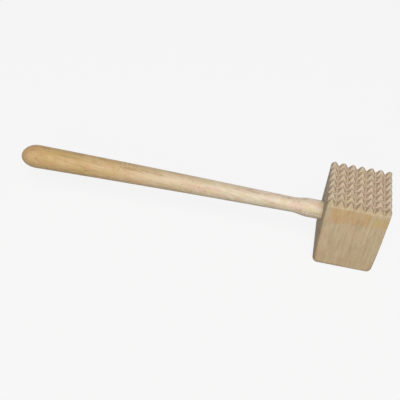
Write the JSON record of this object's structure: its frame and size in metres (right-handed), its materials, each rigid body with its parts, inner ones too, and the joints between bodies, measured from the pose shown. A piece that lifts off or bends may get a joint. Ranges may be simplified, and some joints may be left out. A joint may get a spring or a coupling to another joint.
{
  "type": "wooden meat mallet",
  "caption": "Wooden meat mallet: square block head with a pyramid-toothed face and a smooth face, on a turned tapered handle held by a wedged through tenon.",
  "frame": {"origin": "centre of the head's smooth striking face", "axes": "+Z from the smooth face to the teeth, -X from the head along the handle to the butt, +Y across the head"},
  "size_m": [0.344, 0.056, 0.081],
  "materials": {
    "head_beech": "bare sanded beech, grain upright, end grain on both striking faces",
    "handle_beech": "bare turned beech, grain along the handle, smooth and slightly satin",
    "wedge_hardwood": "bare darker hardwood, trimmed flush"
  },
  "bodies": {
    "root": {"head_block": "head_beech", "handle": "handle_beech", "tenon_wedge": "wedge_hardwood"}
  },
  "joints": []
}
